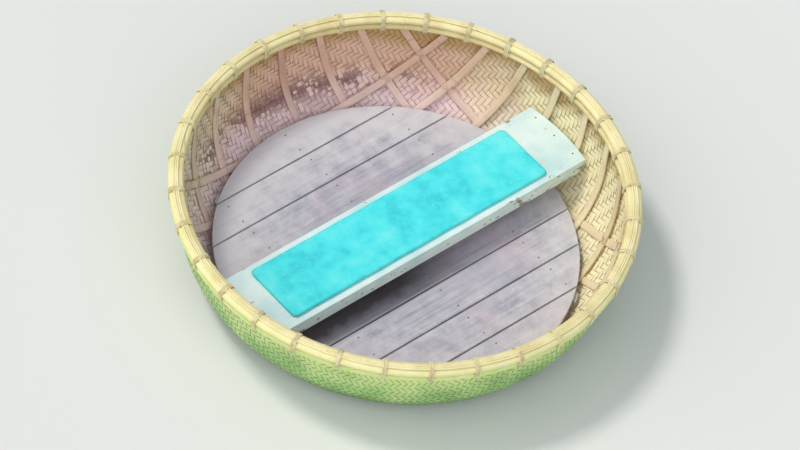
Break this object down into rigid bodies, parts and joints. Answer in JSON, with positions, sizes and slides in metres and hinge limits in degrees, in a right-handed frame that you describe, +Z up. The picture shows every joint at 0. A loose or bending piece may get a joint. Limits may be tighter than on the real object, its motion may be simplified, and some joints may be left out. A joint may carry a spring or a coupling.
{
  "type": "basket coracle",
  "caption": "Round woven bamboo basket coracle with a lashed lath rim, crossed ribs, a slatted floor and one padded thwart, afloat at its waterline.",
  "frame": {"origin": "middle of the boat on the water's surface", "axes": "+Z up, +X along the thwart"},
  "size_m": [2.1092, 2.1092, 0.5946],
  "materials": {
    "woven_bamboo_mat": "woven bamboo, oiled inside and painted pale green outside",
    "rim_bamboo": "split bamboo, painted cream and worn",
    "lashing_cord": "laid cord",
    "rib_bamboo": "split bamboo, matt",
    "floor_timber": "weathered boards",
    "thwart_paint": "timber, painted pale and worn",
    "foam_pad": "closed-cell foam, matt"
  },
  "bodies": {
    "root": {"hull_mat": "woven_bamboo_mat", "rim_lath_outer_upper": "rim_bamboo", "rim_lath_outer_lower": "rim_bamboo", "rim_lath_inner_upper": "rim_bamboo", "rim_lath_inner_lower": "rim_bamboo", "rim_cap": "rim_bamboo", "rim_lashings": "lashing_cord", "rib_under_1": "rib_bamboo", "rib_under_2": "rib_bamboo", "rib_under_3": "rib_bamboo", "rib_under_4": "rib_bamboo", "rib_under_5": "rib_bamboo", "rib_under_6": "rib_bamboo", "rib_under_7": "rib_bamboo", "rib_under_8": "rib_bamboo", "rib_over_1": "rib_bamboo", "rib_over_2": "rib_bamboo", "rib_over_3": "rib_bamboo", "rib_over_4": "rib_bamboo", "rib_over_5": "rib_bamboo", "rib_over_6": "rib_bamboo", "rib_over_7": "rib_bamboo", "rib_over_8": "rib_bamboo", "floor_bearer_1": "floor_timber", "floor_bearer_2": "floor_timber", "floor_bearer_3": "floor_timber", "floor_board_1": "floor_timber", "floor_board_2": "floor_timber", "floor_board_3": "floor_timber", "floor_board_4": "floor_timber", "floor_board_5": "floor_timber", "floor_board_6": "floor_timber", "floor_board_7": "floor_timber", "floor_board_8": "floor_timber", "floor_board_9": "floor_timber", "thwart_plank": "thwart_paint", "thwart_apron_front": "thwart_paint", "thwart_apron_back": "thwart_paint", "thwart_ledger_left": "thwart_paint", "thwart_ledger_right": "thwart_paint", "thwart_pad": "foam_pad"}
  },
  "joints": []
}
